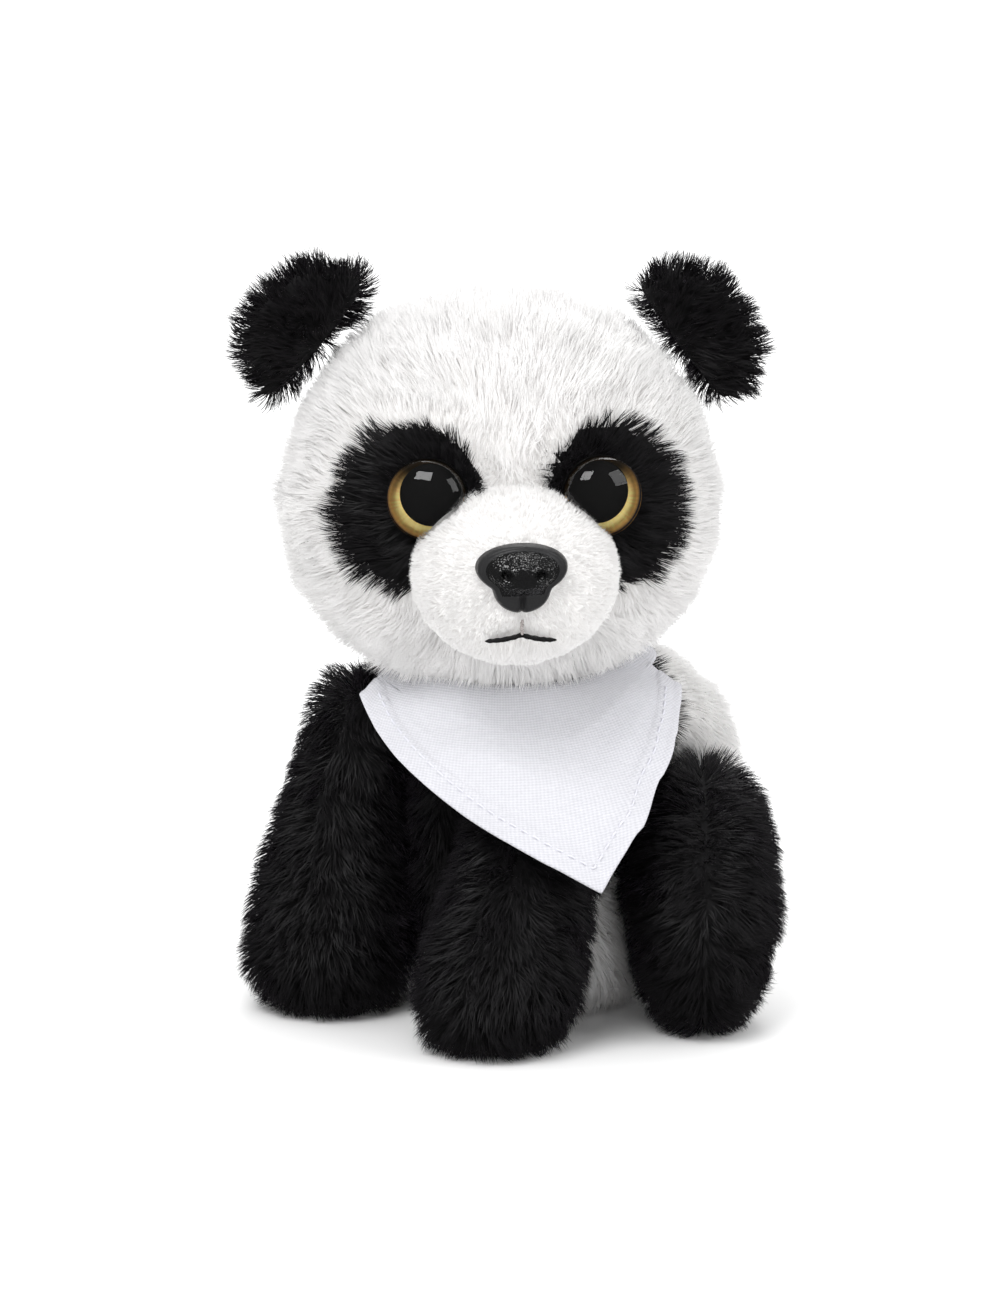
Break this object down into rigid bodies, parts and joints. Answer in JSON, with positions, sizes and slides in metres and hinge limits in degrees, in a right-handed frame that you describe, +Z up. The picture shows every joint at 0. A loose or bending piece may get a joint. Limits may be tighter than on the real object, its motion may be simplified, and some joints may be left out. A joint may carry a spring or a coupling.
{
  "type": "plush panda",
  "caption": "Sitting black and white plush panda with plastic eyes and nose and a white triangular bandana; head, ears, legs and tail bend at their seams.",
  "frame": {"origin": "on the floor under the front of the seat, in the middle plane of the torso, at the resting face", "axes": "+Z up, -Y the way the torso faces, +X the panda's own left"},
  "size_m": [0.1173, 0.1285, 0.1503],
  "materials": {
    "black_plush": "long pile, napped",
    "white_plush": "long pile, napped",
    "muzzle_plush": "short clipped pile",
    "stuffing": "loose fibre",
    "pellet_cloth": "plain woven, filled with pellets",
    "twill": "smooth twill weave",
    "black_plastic": "gloss, nose finely pebbled",
    "gold_foil": "metallic, radially streaked",
    "clear_plastic": "clear gloss dome",
    "washer_plastic": "natural matt",
    "black_thread": "twisted thread",
    "pale_thread": "twisted thread"
  },
  "bodies": {
    "torso": {"seat_panel": "white_plush", "chest_yoke_cover": "black_plush", "back_cover_left": "white_plush", "back_cover_right": "white_plush", "pellet_pouch": "pellet_cloth", "torso_stuffing": "stuffing", "bandana_cloth": "twill", "bandana_neck_band": "twill"},
    "tail": {"tail_upper_cover": "white_plush", "tail_lower_cover": "white_plush", "tail_stuffing": "stuffing"},
    "neck": {"neck_stuffing": "stuffing"},
    "head": {"face_cover_left": "white_plush", "face_cover_right": "white_plush", "head_back_cover_left": "white_plush", "head_back_cover_right": "white_plush", "muzzle_cover": "muzzle_plush", "eye_patch_left": "black_plush", "eye_patch_right": "black_plush", "head_stuffing": "stuffing", "nose": "black_plastic", "nose_washer": "washer_plastic", "lip_thread": "pale_thread", "mouth_thread": "black_thread", "eye_left_base": "black_plastic", "eye_left_iris": "gold_foil", "eye_left_pupil": "black_plastic", "eye_left_lens": "clear_plastic", "eye_left_washer": "washer_plastic", "eye_right_base": "black_plastic", "eye_right_iris": "gold_foil", "eye_right_pupil": "black_plastic", "eye_right_lens": "clear_plastic", "eye_right_washer": "washer_plastic"},
    "front_leg_left": {"front_leg_left_outer_cover": "black_plush", "front_leg_left_inner_cover": "black_plush", "front_leg_left_stuffing": "stuffing"},
    "hind_leg_left": {"hind_leg_left_outer_cover": "black_plush", "hind_leg_left_inner_cover": "black_plush", "hind_leg_left_stuffing": "stuffing"},
    "ear_left": {"ear_left_front": "black_plush", "ear_left_back": "black_plush"},
    "front_leg_right": {"front_leg_right_outer_cover": "black_plush", "front_leg_right_inner_cover": "black_plush", "front_leg_right_stuffing": "stuffing"},
    "hind_leg_right": {"hind_leg_right_outer_cover": "black_plush", "hind_leg_right_inner_cover": "black_plush", "hind_leg_right_stuffing": "stuffing"},
    "ear_right": {"ear_right_front": "black_plush", "ear_right_back": "black_plush"}
  },
  "joints": [
    {"name": "head_turn", "type": "hinge", "parent": "torso", "child": "neck", "pos_m": [0, -0.001, 0.074], "axis": [0, 0, 1], "range_deg": [-25, 25], "stiffness_Nm_per_rad": 0.15},
    {"name": "head_nod", "type": "hinge", "parent": "neck", "child": "head", "pos_m": [0, -0.001, 0.074], "axis": [0.7934, 0.6088, 0], "range_deg": [-10, 10], "stiffness_Nm_per_rad": 0.4},
    {"name": "ear_left_fold", "type": "hinge", "parent": "head", "child": "ear_left", "pos_m": [0.02671, 0.02202, 0.13203], "axis": [0.4708, 0.3613, -0.8049], "range_deg": [-25, 30], "stiffness_Nm_per_rad": 0.01},
    {"name": "ear_right_fold", "type": "hinge", "parent": "head", "child": "ear_right", "pos_m": [-0.02808, -0.02003, 0.13396], "axis": [0.5057, 0.388, 0.7705], "range_deg": [-25, 30], "stiffness_Nm_per_rad": 0.01},
    {"name": "front_leg_left_swing", "type": "hinge", "parent": "torso", "child": "front_leg_left", "pos_m": [0.021, -0.017, 0.057], "axis": [-1, 0, 0], "range_deg": [0, 30], "stiffness_Nm_per_rad": 0.1, "deforming": ["bandana_cloth"]},
    {"name": "front_leg_right_swing", "type": "hinge", "parent": "torso", "child": "front_leg_right", "pos_m": [-0.021, -0.017, 0.057], "axis": [-1, 0, 0], "range_deg": [0, 30], "stiffness_Nm_per_rad": 0.1},
    {"name": "hind_leg_left_spread", "type": "hinge", "parent": "torso", "child": "hind_leg_left", "pos_m": [0.036, 0.006, 0.053], "axis": [0, -1, 0], "range_deg": [0, 25], "stiffness_Nm_per_rad": 0.1},
    {"name": "hind_leg_right_spread", "type": "hinge", "parent": "torso", "child": "hind_leg_right", "pos_m": [-0.036, 0.016, 0.054], "axis": [0, 1, 0], "range_deg": [0, 25], "stiffness_Nm_per_rad": 0.1},
    {"name": "tail_swing", "type": "hinge", "parent": "torso", "child": "tail", "pos_m": [0, 0.0532, 0.02], "axis": [0, 0, 1], "range_deg": [-15, 15], "stiffness_Nm_per_rad": 0.01}
  ]
}
